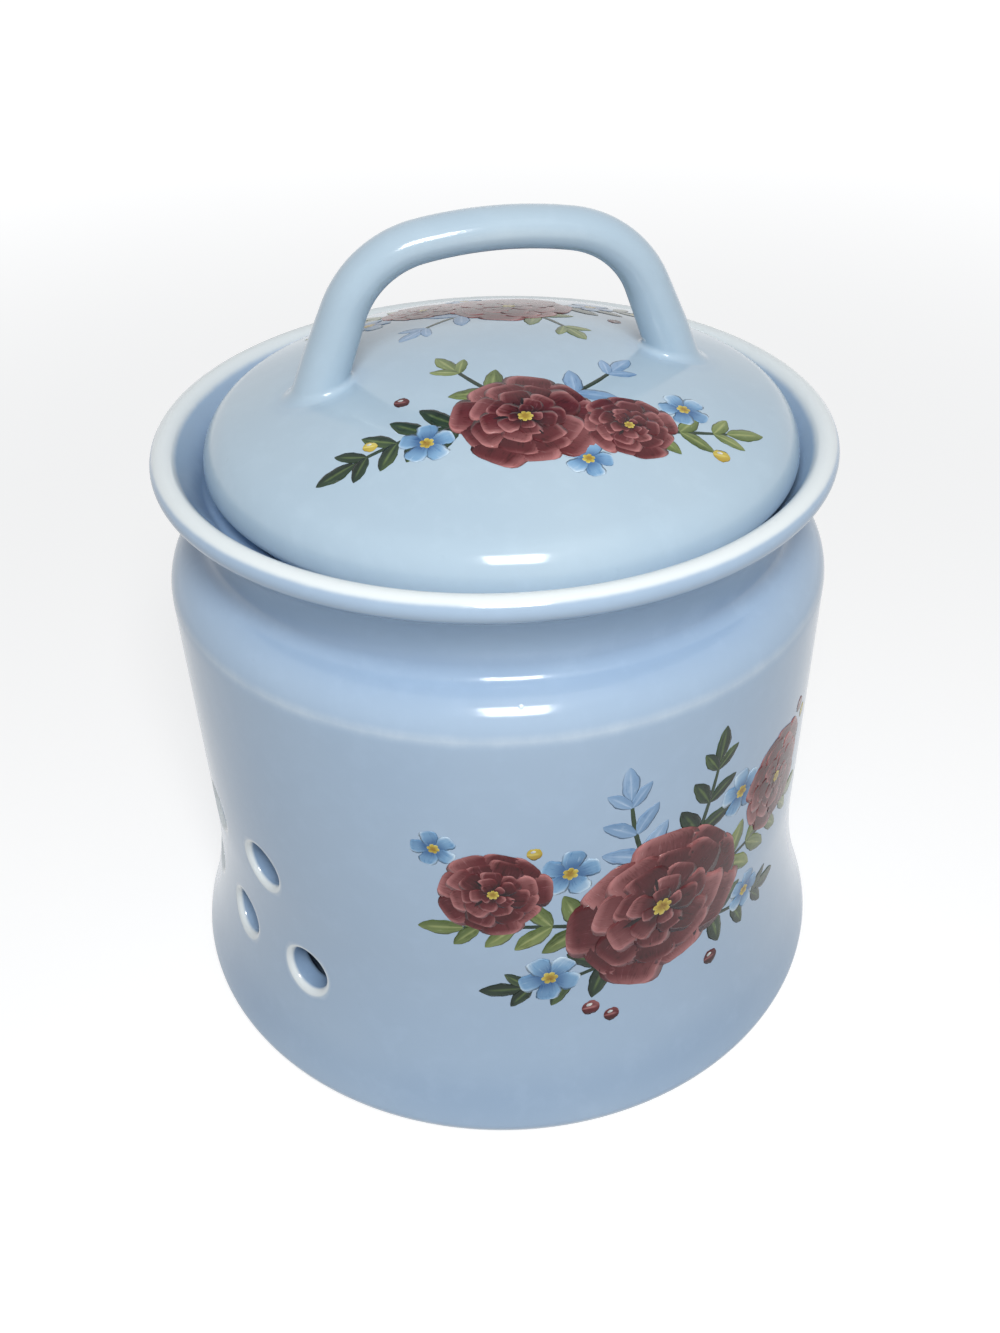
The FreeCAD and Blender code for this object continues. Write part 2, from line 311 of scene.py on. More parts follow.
def vent_ring_stack(azimuth, height, low, high):
    """One vent: rings from its cell's border in to the hole, round its edge, through the wall and out.

    In the cell's own plane a point lies at x along the wall and z up, and the wall stands at the root of
    its radius squared less x squared. Rings run from the border to a circle, and the edge is a quarter round.
    """
    across = np.radians(np.linspace(-VENT_PITCH / 2, VENT_PITCH / 2, CELL_STEPS + 1))
    up = np.linspace(low, high, CELL_STEPS + 1)
    even = np.ones(CELL_STEPS)
    turn = np.concatenate([across[:-1], even * across[-1], across[:0:-1], even * across[0]])
    tall = np.concatenate([even * low, up[:-1], even * high, up[:0:-1]])
    around = np.arctan2(tall - height, wall_outside(tall) * np.sin(turn))
    rim = VENT_RADIUS + VENT_ROUND

    def on_wall(radius, share):
        """Points between the cell's border (share 0) and the rounded edge's outer circle (share 1)."""
        x = (1 - share) * radius(tall) * np.sin(turn) + share * rim * np.cos(around)
        z = (1 - share) * tall + share * (height + rim * np.sin(around))
        return x, np.sqrt(radius(z) ** 2 - x**2), z

    def in_edge(radius, quarter, side):
        """Points of the quarter round: it closes in by one less the sine and sinks by one less the cosine."""
        reach = VENT_RADIUS + VENT_ROUND * (1 - math.sin(quarter))
        x, z = reach * np.cos(around), height + reach * np.sin(around)
        return x, np.sqrt(radius(z) ** 2 - x**2) - side * VENT_ROUND * (1 - math.cos(quarter)), z

    quarters = np.radians(np.linspace(0, 90, 7))
    rings = [on_wall(wall_outside, share) for share in np.linspace(0, 1, 8)]
    rings += [in_edge(wall_outside, quarter, 1) for quarter in quarters[1:]]
    rings += [in_edge(wall_inside, quarter, -1) for quarter in quarters[::-1]]
    rings += [on_wall(wall_inside, share) for share in np.linspace(1, 0, 8)[1:]]
    x, y, z = (np.stack(part) for part in zip(*rings))
    points = np.stack([*turned(x, -y, azimuth), z], -1)
    # Ring by ring: the glaze runs thin round the outer edge, and pools before it and in the hole
    thin_and_highlight = np.concatenate([np.zeros(6), [0.1, 0.4], [0.8, 1, 1, 0.9, 0.5, 0.2], [0.1] * 7, [0.0] * 7])
    pool_and_shade = np.concatenate([np.zeros(6), [0.15, 0.1], [0, 0, 0, 0.1, 0.4, 0.8], [0.9] * 7, [0.3] * 7])
    return points, thin_and_highlight, pool_and_shade


def jar_profile():
    """The jar's half section in two runs: out under the foot and up to the lip, then down the inside."""
    skirt_centre = (BODY_RADIUS + SKIRT_HOLLOW, SKIRT_TOP)
    skirt_angle = angle_to(FOOT_CENTRE, skirt_centre)
    shoulder_centre = (BODY_RADIUS - SHOULDER_ROUND, BODY_TOP)
    neck_hollow = hollow_round(NECK_RADIUS, NECK_HEIGHT, shoulder_centre, SHOULDER_ROUND)
    neck_centre = (NECK_RADIUS + neck_hollow, NECK_HEIGHT)
    shoulder_angle = angle_to(shoulder_centre, neck_centre)
    flare_hollow = hollow_round(NECK_RADIUS, NECK_HEIGHT, LIP_CENTRE, LIP_ROUND)
    flare_centre = (NECK_RADIUS + flare_hollow, NECK_HEIGHT)
    lip_start = angle_to(LIP_CENTRE, flare_centre)
    lip_end = touch_angle(LIP_CENTRE, LIP_ROUND, (SEAT_RADIUS, SEAT_HEIGHT), -1) % 360
    ring_inside = FOOT_CENTRE[0] - FOOT_RING_WIDTH
    recess = ring_inside - RECESS_SLOPE
    seat_edge = (NECK_INNER_RADIUS + SEAT_EDGE_ROUND, SEAT_HEIGHT - SEAT_EDGE_ROUND)
    corner_height = FLOOR_TOP + FLOOR_ROUND
    corner_reach = SKIRT_HOLLOW + WALL + FLOOR_ROUND
    corner_across = math.sqrt(corner_reach**2 - (SKIRT_TOP - corner_height) ** 2)
    corner_centre = (skirt_centre[0] - corner_across, corner_height)
    # The underside and the floor are closed by fans of triangles inside this radius
    fan = 8.0
    outside = chain(
        line((fan, FOOT_RECESS), (recess, FOOT_RECESS), 4),
        line((recess, FOOT_RECESS), (ring_inside, 0), 3),
        line((ring_inside, 0), (FOOT_CENTRE[0], 0), 3),
        arc(FOOT_CENTRE, FOOT_ROUND, -90, skirt_angle, 8),
        wall_run(wall_outside, on_circle(FOOT_CENTRE, FOOT_ROUND, skirt_angle)[1], CELL_LOW, 7),
        wall_run(wall_outside, CELL_LOW, CELL_MIDDLE, CELL_STEPS),
        wall_run(wall_outside, CELL_MIDDLE, CELL_HIGH, CELL_STEPS),
        wall_run(wall_outside, CELL_HIGH, BODY_TOP, 13),
        arc(shoulder_centre, SHOULDER_ROUND, 0, shoulder_angle, 12),
        arc(neck_centre, neck_hollow, 180 + shoulder_angle, 180, 9),
        arc(flare_centre, flare_hollow, 180, 180 + lip_start, 14),
        arc(LIP_CENTRE, LIP_ROUND, lip_start, lip_end, 20),
    )
    inside = chain(
        line(on_circle(LIP_CENTRE, LIP_ROUND, lip_end), (SEAT_RADIUS, SEAT_HEIGHT), 6),
        line((SEAT_RADIUS, SEAT_HEIGHT), (seat_edge[0], SEAT_HEIGHT), 3),
        arc(seat_edge, SEAT_EDGE_ROUND, 90, 180, 5),
        line((NECK_INNER_RADIUS, seat_edge[1]), (NECK_INNER_RADIUS, NECK_HEIGHT), 4),
        arc(neck_centre, neck_hollow + WALL, 180, 180 + shoulder_angle, 9),
        arc(shoulder_centre, SHOULDER_ROUND - WALL, shoulder_angle, 0, 7),
        wall_run(wall_inside, BODY_TOP, CELL_HIGH, 8),
        wall_run(wall_inside, CELL_HIGH, CELL_MIDDLE, CELL_STEPS),
        wall_run(wall_inside, CELL_MIDDLE, CELL_LOW, CELL_STEPS),
        arc(corner_centre, FLOOR_ROUND, angle_to(corner_centre, skirt_centre), -90, 9),
        line((corner_centre[0], FLOOR_TOP), (fan, FLOOR_TOP), 5),
    )
    return outside, inside


def make_jar():
    """The jar's whole surface: one turned profile, with a cell of its wall given up to each vent."""
    outside, inside = jar_profile()
    profile = chain(outside, inside)
    vent_side = 1.5 * VENT_PITCH
    near = np.linspace(-vent_side, vent_side, 3 * CELL_STEPS + 1)
    azimuths = np.concatenate([near, np.linspace(vent_side, 360 - vent_side, 325)[1:-1]])
    columns, rows = len(azimuths), len(profile)
    radius, height = profile[:, 0], profile[:, 1]
    outer = np.arange(rows) < len(outside)
    # The glaze runs thin at the shoulder, under and over the lip, round the foot and at the seat's edge, and
    # the pale colour over the lip's top is also a painted highlight
    shoulder_band, lip_band = (BODY_TOP + 1.9, 1.35, 0.38), (LIP_CENTRE[1] - 3.1, 0.8, 0.35)
    thin_and_highlight = outer * bands(height, shoulder_band, lip_band, (1.0, 1.3, 0.5))
    # Over the lip's top the pale break colour is partly thin glaze and partly a painted highlight
    lip_turn = np.degrees(np.arctan2(height - LIP_CENTRE[1], radius - LIP_CENTRE[0]))
    lip_top_highlight = outer & (height > LIP_CENTRE[1])
    thin_and_highlight += lip_top_highlight * 0.95 * smooth(lip_turn, 22, 58) * smooth(lip_turn, 178, 140)
    thin_and_highlight += ~outer * 0.5 * bell(height, SEAT_HEIGHT - 0.3, 0.5) * bell(radius, NECK_INNER_RADIUS + 0.5, 0.8)
    # It pools in the neck and at the foot, and inside on the seat and round the floor; the deeper blue in the
    # neck under the lip and low on the skirt is also painted shade
    # Painted shade: the neck under the lip and the skirt near the foot are made deeper blue, partly pooled
    # glaze and partly shade
    pool_and_shade = outer * bands(height, (NECK_HEIGHT - 0.4, 4.2, 0.55), (8.0, 7.0, 0.35))
    pool_and_shade += ~outer * bands(height, (SEAT_HEIGHT + 0.5, 3.0, 0.9), (FLOOR_TOP + 1.5, 4.5, 0.7))

    def row_at(side, border):
        """The row of the profile at a cell border, outside or inside."""
        return int(np.flatnonzero(side & np.isclose(height, border))[0])

    # The low row of vents takes three cells side by side, and the high row two over their middle
    keep = np.ones((rows - 1, columns), bool)
    half = CELL_STEPS // 2
    keep[row_at(outer, CELL_LOW) : row_at(outer, CELL_MIDDLE), : 3 * CELL_STEPS] = False
    keep[row_at(outer, CELL_MIDDLE) : row_at(outer, CELL_HIGH), half : 5 * half] = False
    keep[row_at(~outer, CELL_HIGH) : row_at(~outer, CELL_MIDDLE), half : 5 * half] = False
    keep[row_at(~outer, CELL_MIDDLE) : row_at(~outer, CELL_LOW), : 3 * CELL_STEPS] = False
    poles = np.array([[0, 0, FOOT_RECESS], [0, 0, FLOOR_TOP]])
    all_points = [turned_points(profile, azimuths).reshape(-1, 3), poles]
    all_quads = [sheet_faces(rows, columns, True)[keep]]
    all_thin_and_highlight = [np.repeat(thin_and_highlight, columns), np.zeros(2)]
    all_pool_and_shade = [np.repeat(pool_and_shade, columns), np.zeros(2)]
    first = rows * columns + 2
    for place in vent_places():
        ring_points, ring_thin, ring_pool = vent_ring_stack(*place)
        rings, ring_columns = ring_points.shape[:2]
        all_quads.append(sheet_faces(rings, ring_columns, True, first).reshape(-1, 4))
        all_points.append(ring_points.reshape(-1, 3))
        all_thin_and_highlight.append(np.repeat(ring_thin, ring_columns))
        all_pool_and_shade.append(np.repeat(ring_pool, ring_columns))
        first += rings * ring_columns
    values = {"thin_and_highlight": np.concatenate(all_thin_and_highlight), "pool_and_shade": np.concatenate(all_pool_and_shade)}
    points, quads = np.concatenate(all_points), np.concatenate(all_quads)
    return make_piece("jar_shell", "jar", points, quads, closed_ends(rows, columns), values)


def lid_profile():
    """The lid's half section in two runs: down the hollow and the flange, then round the edge and up."""
    crown_centre = (0, CROWN_HEIGHT)
    inner_crown = CROWN_RADIUS - LID_WALL
    inner_side = FLANGE_INNER_RADIUS - LID_INNER_ROUND
    inner_rise = math.sqrt((inner_crown - LID_INNER_ROUND) ** 2 - inner_side**2)
    inner_centre = (inner_side, CROWN_HEIGHT + inner_rise)
    inner_meet = angle_to(crown_centre, inner_centre)
    flange_round = FLANGE_THICKNESS / 2
    flange_centre = (FLANGE_RADIUS - flange_round, SEAT_HEIGHT - FLANGE_DEPTH + flange_round)
    seat_outer = (FLANGE_RADIUS + SEAT_FACE_WIDTH, SEAT_HEIGHT)
    edge_centre = (LID_RADIUS - LID_EDGE_ROUND, LID_EDGE_HEIGHT)
    edge_turn = touch_angle(edge_centre, LID_EDGE_ROUND, seat_outer, 1)
    side_centre = (CROWN_SIDE, LID_EDGE_HEIGHT)
    meet = angle_to(crown_centre, side_centre)
    # From these angles on, fans of triangles close the crown
    low_fan, high_fan = 87.0, 88.6
    hidden = chain(
        arc(crown_centre, inner_crown, low_fan, inner_meet, 14),
        arc(inner_centre, LID_INNER_ROUND, inner_meet, 0, 8),
        line((FLANGE_INNER_RADIUS, inner_centre[1]), (FLANGE_INNER_RADIUS, flange_centre[1]), 6),
        arc(flange_centre, flange_round, 180, 360, 14),
        line((FLANGE_RADIUS, flange_centre[1]), (FLANGE_RADIUS, SEAT_HEIGHT), 4),
        line((FLANGE_RADIUS, SEAT_HEIGHT), seat_outer, 3),
    )
    shown = chain(
        line(seat_outer, on_circle(edge_centre, LID_EDGE_ROUND, edge_turn), 5),
        arc(edge_centre, LID_EDGE_ROUND, edge_turn, 0, 6),
        arc(side_centre, LID_SHOULDER_ROUND, 0, meet, 18),
        arc(crown_centre, CROWN_RADIUS, meet, high_fan, 34),
    )
    return hidden, shown


def make_lid():
    """The lid turned from one profile: down its hollow, round the flange and back over the crown."""
    hidden, shown = lid_profile()
    profile = chain(hidden, shown)
    rows, columns = len(profile), 320
    points = turned_points(profile, np.arange(columns) * (360 / columns), LID_CENTRE)
    crown_heights = (CROWN_HEIGHT + CROWN_RADIUS - LID_WALL, LID_TOP)
    poles = np.array([[*LID_CENTRE, crown_height] for crown_height in crown_heights])
    radius, height = profile[:, 0], profile[:, 1]
    outer = np.arange(rows) >= len(hidden) - 1
    # The glaze runs thin at the lid's lower edge and under the flange
    thin_and_highlight = outer * 0.30 * bell(radius, LID_RADIUS - 0.3, 0.5) * bell(height, LID_EDGE_HEIGHT - 0.8, 1.2)
    thin_and_highlight += 0.5 * bell(height, SEAT_HEIGHT - FLANGE_DEPTH + 0.1, 0.5)
    # It pools at the widest edge, in the corner over the flange and round each foot of the handle
    pool_and_shade = outer * 0.15 * smooth(radius, LID_RADIUS - 1.3, LID_RADIUS - 0.1)
    pool_and_shade += ~outer * 0.6 * bell(radius, FLANGE_RADIUS + 0.9, 1.2)
    away = points[..., :2] - LID_CENTRE
    lengthways = away @ HANDLE_LINE
    sideways = away @ np.array([HANDLE_LINE[1], -HANDLE_LINE[0]])
    foot = np.hypot(np.abs(lengthways) - FOOT_REACH, sideways)
    pool_and_shade = pool_and_shade[:, None] + outer[:, None] * 0.3 * bell(foot, 7.6, 1.6)
    return make_lid_piece("lid_shell", points, poles, thin_and_highlight[:, None], pool_and_shade)


def strap_lengths():
    """Lengths along half the middle line: its top arc, its corner, and its leg down to the crown.

    The corner's centre lies beside the leg, and as far from the top arc's centre as their radii differ.
    That gives the leg's length as the root of a square equation.
    """
    upward = (-math.sin(LEAN), math.cos(LEAN))
    across = FOOT_REACH - CORNER_ROUND * math.cos(LEAN)
    up = FOOT_HEIGHT - CORNER_ROUND * math.sin(LEAN) - (HANDLE_TOP - TOP_ROUND)
    along = across * upward[0] + up * upward[1]
    leg = -along + math.sqrt(along**2 - across**2 - up**2 + (TOP_ROUND - CORNER_ROUND) ** 2)
    meet = math.atan2(up + leg * upward[1], across + leg * upward[0])
    return TOP_ROUND * (math.pi / 2 - meet), CORNER_ROUND * (meet - LEAN), leg


def strap_frame(distance):
    """Middle line of half the strap at a length from its top: the top arc, the corner, then the leg.

    Returns the reach from the lid's axis, the height, and the outward angle, which falls to the leg's lean.
    """
    top_length, corner_length, _ = strap_lengths()
    on_top = np.clip(distance, 0, top_length)
    on_corner = np.clip(distance - top_length, 0, corner_length)
    on_leg = np.clip(distance - top_length - corner_length, 0, None)
    top_angle = math.pi / 2 - on_top / TOP_ROUND
    angle = top_angle - on_corner / CORNER_ROUND
    reach = TOP_ROUND * np.cos(top_angle) + CORNER_ROUND * (np.cos(angle) - np.cos(top_angle))
    height = TOP_ROUND * (np.sin(top_angle) - 1) + CORNER_ROUND * (np.sin(angle) - np.sin(top_angle))
    return reach + on_leg * math.sin(LEAN), HANDLE_TOP + height - on_leg * math.cos(LEAN), angle


def foot_rings(start, around, thick, wide):
    """The flare of one foot, from the leg's last oval, at a length from the top, to just under the crown.

    A point goes out along the oval's own normal, and down the leg's line until it stands at its share of the
    round above the crown, which is a ball: the distance is the root of a square equation.
    """
    reach, height, angle = (float(value[0]) for value in strap_frame(np.array([start])))
    quarter = np.radians(np.linspace(0, 90, 12))[:, None]
    spread = FLARE * (1 - np.cos(quarter))
    lift = FLARE * (1 - np.sin(quarter))
    # Two more rings carry the flare on under the crown
    spread = np.concatenate([spread, spread[-1:] + [[0.4], [0.6]]])
    lift = np.concatenate([lift, [[-0.015], [-0.4]]])
    share = np.linspace(0, 1, len(lift))[:, None]
    thick = thick + (LEG_THICK - thick) * share
    wide = wide + (LEG_WIDE - wide) * share
    normal_out, normal_over = np.cos(around) * wide, np.sin(around) * thick
    size = np.hypot(normal_out, normal_over)
    out = thick * np.cos(around) + spread * normal_out / size
    over = wide * np.sin(around) + spread * normal_over / size
    tall = height - CROWN_HEIGHT + out * math.sin(angle)
    rings = np.stack([reach + out * math.cos(angle), over, tall], -1)
    down = np.array([math.sin(angle), 0, -math.cos(angle)])
    along = rings @ down
    beyond = (rings**2).sum(-1) - (CROWN_RADIUS + lift) ** 2
    rings = rings + (-along - np.sqrt(np.maximum(along**2 - beyond, 0)))[..., None] * down
    return rings[..., 0], rings[..., 1], rings[..., 2] + CROWN_HEIGHT


def make_handle():
    """The strap: ovals square to its middle line that thicken down the legs, with a flare at each foot."""
    around = np.linspace(0, 2 * math.pi, 56, endpoint=False)
    flare_at = sum(strap_lengths()) - FLARE_START
    half = np.linspace(0, flare_at, 46)
    distance = np.concatenate([-half[:0:-1], half])
    side = np.where(distance < 0, -1.0, 1.0)[:, None]
    reach, height, angle = (value[:, None] for value in strap_frame(np.abs(distance)))
    ease = np.clip(HANDLE_TOP - height, 0, None) / (HANDLE_TOP - FOOT_HEIGHT)
    thick = TOP_THICK + (LEG_THICK - TOP_THICK) * ease
    wide = TOP_WIDE + (LEG_WIDE - TOP_WIDE) * ease
    out = thick * np.cos(around)
    over = wide * np.sin(around)
    along = side * (reach + out * np.cos(angle))
    tall = height + out * np.sin(angle)
    foot_along, foot_over, foot_tall = foot_rings(flare_at, around, thick[-1], wide[-1])
    along = np.concatenate([-foot_along[::-1], along, foot_along])
    over = np.concatenate([foot_over[::-1], over, foot_over])
    tall = np.concatenate([foot_tall[::-1], tall, foot_tall])
    x = LID_CENTRE[0] + along * HANDLE_LINE[0] + over * HANDLE_LINE[1]
    y = LID_CENTRE[1] + along * HANDLE_LINE[1] - over * HANDLE_LINE[0]
    points = np.stack([x, y, tall], -1)
    rows = len(points)
    poles = np.stack([points[0].mean(0), points[-1].mean(0)]) - [0, 0, 0.3]
    # The glaze runs thin along both edges of the strap and pools round its feet
    thin_and_highlight = 0.35 * bell(np.arange(rows), (rows - 1) / 2, 26)[:, None] * bell(np.cos(around), 0, 0.5)
    away = np.abs(along).mean(1)
    near_foot = smooth(away, FOOT_REACH - 2.5, FOOT_REACH - 0.5)
    pool_and_shade = 0.30 * near_foot * bell(tall.mean(1), FOOT_HEIGHT - 0.3, 1.6)
    piece = make_lid_piece("handle_strap", points, poles, thin_and_highlight, pool_and_shade[:, None])
    work = bmesh.new()
    work.from_mesh(piece.data)
    bmesh.ops.recalc_face_normals(work, faces=work.faces)
    work.to_mesh(piece.data)
    work.free()
    return piece


def on_jar(middle, sheet, lift):
    """A flat sheet laid round the jar: x is the arc's length from the middle azimuth, and y is the height.

    Each point stands off the wall by its lift, square to the wall's slope.
    """
    turn = math.radians(middle) + sheet[..., 0] / BODY_RADIUS
    z = sheet[..., 1]
    step = 0.05
    slope = (wall_outside(z + step) - wall_outside(z - step)) / (2 * step)
    size = np.hypot(1, slope)
    radius = wall_outside(z) + lift / size
    return np.stack([radius * np.sin(turn), -radius * np.cos(turn), z - lift * slope / size], -1)


def on_lid(turn, sheet, lift):
    """A flat sheet laid on the crown from above, turned about its axis and lifted along its radius."""
    x, y = turned(sheet[..., 0], sheet[..., 1], turn)
    rise = np.sqrt(CROWN_RADIUS**2 - x**2 - y**2)
    share = (CROWN_RADIUS + lift) / CROWN_RADIUS
    return np.stack([LID_CENTRE[0] + x * share, LID_CENTRE[1] + y * share, CROWN_HEIGHT + rise * share], -1)


# Paints, each in a dark, a plain and a light tone
WINE = np.array([[0.010, 0.002, 0.004], [0.110, 0.012, 0.017], [0.480, 0.200, 0.200]])
SHADE = np.array([[0.006, 0.002, 0.004], [0.022, 0.004, 0.007], [0.060, 0.010, 0.014]])
BLUE = np.array([[0.060, 0.155, 0.330], [0.215, 0.400, 0.620], [0.640, 0.780, 0.900]])
PALE_BLUE = np.array([[0.150, 0.270, 0.450], [0.240, 0.385, 0.590], [0.420, 0.560, 0.740]])
DARK_GREEN = np.array([[0.006, 0.014, 0.012], [0.024, 0.050, 0.028], [0.150, 0.220, 0.070]])
OLIVE = np.array([[0.050, 0.085, 0.020], [0.170, 0.225, 0.075], [0.400, 0.440, 0.180]])
YELLOW = np.array([[0.330, 0.200, 0.030], [0.560, 0.440, 0.070], [0.780, 0.680, 0.220]])
CREAM = np.array([[0.450, 0.480, 0.500], [0.700, 0.720, 0.700], [0.850, 0.860, 0.830]])
KINDS = ("petal", "leaf", "stem")


def stroke(x, y, heading, length, width, bend, early, late, layer, paint, kind="petal"):
    """One brush stroke: start, heading in degrees, length, half width, bend, belly, layer and paint."""
    return {
        "place": (x, y),
        "heading": heading,
        "size": (length, width, bend),
        "belly": (early, late),
        "layer": layer,
        "paint": paint,
        "kind": KINDS.index(kind),
    }


def rosette(x, y, radius, turn, layer=3.0):
    """A round bloom: rings of fewer and shorter petals, each ring over the one outside it."""
    strokes = []
    for ring, (share, petals) in enumerate(((1.0, 9), (0.8, 8), (0.6, 7), (0.42, 5), (0.25, 4))):
        level = layer + 0.8 * ring
        for petal in range(petals):
            heading = turn + 21 * ring + 360 * petal / petals + 7 * math.sin(5.1 * petal + ring)
            size = radius * share * (1 + 0.07 * math.sin(3.3 * petal + 2.1 * ring))
            strokes.append(stroke(x, y, heading, size, size * 0.40, 0.07 * size, 0.85, 0.30, level, WINE))
            if ring < 3 and petal % 2:
                # A dark brush mark near the petal's root
                turn_to = math.radians(heading - 10)
                root = (x + 0.34 * size * math.cos(turn_to), y + 0.34 * size * math.sin(turn_to))
                mark = (size * 0.40, size * 0.075, 0.0, 0.5, 1.1, level + 0.4, SHADE)
                strokes.append(stroke(*root, heading - 5, *mark))
    for seed in range(7):
        heading = turn + 51.4 * seed
        strokes.append(stroke(x, y, heading, radius * 0.11, radius * 0.035, 0, 0.5, 0.3, layer + 5, YELLOW))
    return strokes


def blossom(x, y, radius, turn):
    """A small round flower of five petals with a yellow heart."""
    layer = 2.2
    strokes = []
    for petal in range(5):
        level = layer + 0.25 * (petal % 2)
        strokes.append(stroke(x, y, turn + 72 * petal, radius, radius * 0.40, 0.0, 0.75, 0.28, level, BLUE))
    for seed in range(6):
        heading = turn + 60 * seed + 15
        strokes.append(stroke(x, y, heading, radius * 0.27, radius * 0.10, 0, 0.5, 0.35, layer + 1, YELLOW))
    return strokes


def berry(x, y, radius, paint=WINE):
    """A round berry: one wide stroke, and over it a short pale one off centre as its shine."""
    layer = 1.6
    shine = (x - 0.5 * radius, y + 0.35 * radius, 10, 0.7 * radius, 0.22 * radius)
    return [
        stroke(x - radius, y, 0, 2 * radius, radius, 0, 0.5, 0.5, layer, paint, "leaf"),
        stroke(*shine, 0, 0.5, 0.5, layer + 0.5, CREAM),
    ]


def sprig(x, y, heading, length, pairs, leaf, bend, paint, layer=0.8):
    """A bent stem with pairs of leaves that shorten towards its tip, and one leaf at the end."""
    turn = math.radians(heading)
    start = np.array([x, y])
    ahead, aside = np.array([math.cos(turn), math.sin(turn)]), np.array([-math.sin(turn), math.cos(turn)])
    strokes = [stroke(x, y, heading, length, 0.45, bend, 0.12, 0.2, layer, DARK_GREEN, "stem")]
    for pair in range(pairs):
        share = 0.22 + 0.66 * pair / (pairs - 1)
        place = start + ahead * length * share + aside * bend * share**2
        local = heading + math.degrees(math.atan2(2 * bend * share, length))
        size = leaf * (1.08 - 0.45 * share)
        for side in (-1, 1):
            open_to = local + side * (46 - 10 * share)
            level = layer + 0.4 + 0.3 * (side > 0)
            blade = (size, size * 0.22, side * 0.1 * size, 0.7, 0.8, level, paint, "leaf")
            strokes.append(stroke(*place, open_to, *blade))
    end = start + ahead * length * 0.97 + aside * bend * 0.94
    local = heading + math.degrees(math.atan2(2 * bend, length))
    strokes.append(stroke(*end, local, leaf * 0.85, leaf * 0.19, 0.0, 0.7, 0.8, layer + 0.5, paint, "leaf"))
    return strokes


def shifted(strokes, x, y):
    """The same strokes moved across the sheet."""
    return [dict(s, place=(s["place"][0] + x, s["place"][1] + y)) for s in strokes]


def paint_on(name, body, strokes, lay, middle):
    """All strokes of a spray as thin closed lenses on the glaze.

    Along a stroke u runs from 0 to 1 and across it v from -1 to 1. The point lies at u times the length along
    the heading, and across it at the bend times u squared plus v times a belly, u to one power times one less
    u to another, scaled to the half width. The top stands off by its layer and one less v squared, and the
    underside is sunk in the glaze.
    """
    along, across = 18, 9
    u = (1 - np.cos(np.linspace(0, math.pi, along))) / 2
    u, v = np.meshgrid(u, np.linspace(-1, 1, across), indexing="ij")

    def each(values):
        """One value for each stroke, shaped to meet the grid of its points."""
        return np.array(values)[:, None, None]

    number = each(range(len(strokes)))
    heading = np.radians(each([s["heading"] for s in strokes]))
    start_x, start_y = (each([s["place"][i] for s in strokes]) for i in range(2))
    length, width, bend = (each([s["size"][i] for s in strokes]) for i in range(3))
    early, late = (each([s["belly"][i] for s in strokes]) for i in range(2))
    layer = each([s["layer"] for s in strokes])
    kind = each([s["kind"] for s in strokes])
    petal, leaf = kind == KINDS.index("petal"), kind == KINDS.index("leaf")
    peak = early / (early + late)
    belly = (u**early * (1 - u) ** late) / (peak**early * (1 - peak) ** late)
    ragged = 1 + 0.07 * np.sin(9 * u + 2.3 * number + 1.5 * v) + 0.04 * np.sin(23 * u + 4.1 * number)
    forward = length * u * (1 - 0.12 * v**2 * (1 - u) * petal)
    sideways = bend * u**2 + width * belly * v * ragged
    x = start_x + forward * np.cos(heading) - sideways * np.sin(heading)
    y = start_y + forward * np.sin(heading) + sideways * np.cos(heading)
    edge = (1 - v**2) * np.minimum(1, 6 * u * (1 - u))
    level = 0.012 + 0.016 * layer
    top = level + 0.012 * edge
    under = level - (0.03 + 0.016 * layer) * np.minimum(1, 3 * edge)
    # A petal is dark at its root and light at its tip and along one side, and a leaf has a light rib
    tone_petal = 0.02 + 0.46 * smooth(u, 0.20, 0.80) + 0.10 * v + 0.26 * smooth(u, 0.86, 1.0)
    tone_petal = tone_petal + u * (0.42 * smooth(v, 0.45, 1.0) + 0.12 * smooth(-v, 0.7, 1.0))
    tone_leaf = 0.36 + 0.20 * v + 0.42 * bell(v, 0, 0.16) * smooth(1 - u, 0.05, 0.4) + 0.10 * u
    tone = np.where(petal, tone_petal, np.where(leaf, tone_leaf, 0.45))
    tone = np.clip(tone + 0.13 * np.sin(5.3 * number) * (0.3 + u), 0, 1)[..., None]
    paints = np.array([s["paint"] for s in strokes])
    dark, plain, light = (paints[:, i][:, None, None, :] for i in range(3))
    darker, lighter = dark + (plain - dark) * 2 * tone, plain + (light - plain) * (2 * tone - 1)
    colour = np.where(tone < 0.5, darker, lighter)
    sheet = np.stack([x, y], -1)
    points = np.concatenate([lay(middle, sheet, lift).reshape(-1, 3) for lift in (top, under)])
    colour = np.concatenate([colour.reshape(-1, 3)] * 2)
    uv = np.stack([forward / 10 + 1.37 * number, width * v / 10 + 0.71 * number], -1).reshape(-1, 2)
    grid = along * across
    faces = sheet_faces(along, across, False).reshape(-1, 4)
    faces = (faces[None] + each(range(len(strokes))) * grid).reshape(-1, 4)
    # Seen from outside the grid runs clockwise, so the top is turned over
    quads = np.concatenate([faces[:, ::-1], faces + len(strokes) * grid])
    return make_piece(name, body, points, quads, colours={"paint": colour}, uv=np.concatenate([uv, uv]))


class Signal:
    """A node's output that takes part in sums: each operation on it adds its Math node."""

    def __init__(self, finish, socket):
        self.finish, self.socket = finish, socket

    def _math(self, operation, other):
        return self.finish.node("ShaderNodeMath", {"operation": operation}, {0: self, 1: other})

    def __add__(self, other):
        return self._math("ADD", other)

    __radd__ = __add__

    def __mul__(self, other):
        return self._math("MULTIPLY", other)

    __rmul__ = __mul__

    def __sub__(self, other):
        return self._math("SUBTRACT", other)

    def __gt__(self, other):
        return self._math("GREATER_THAN", other)


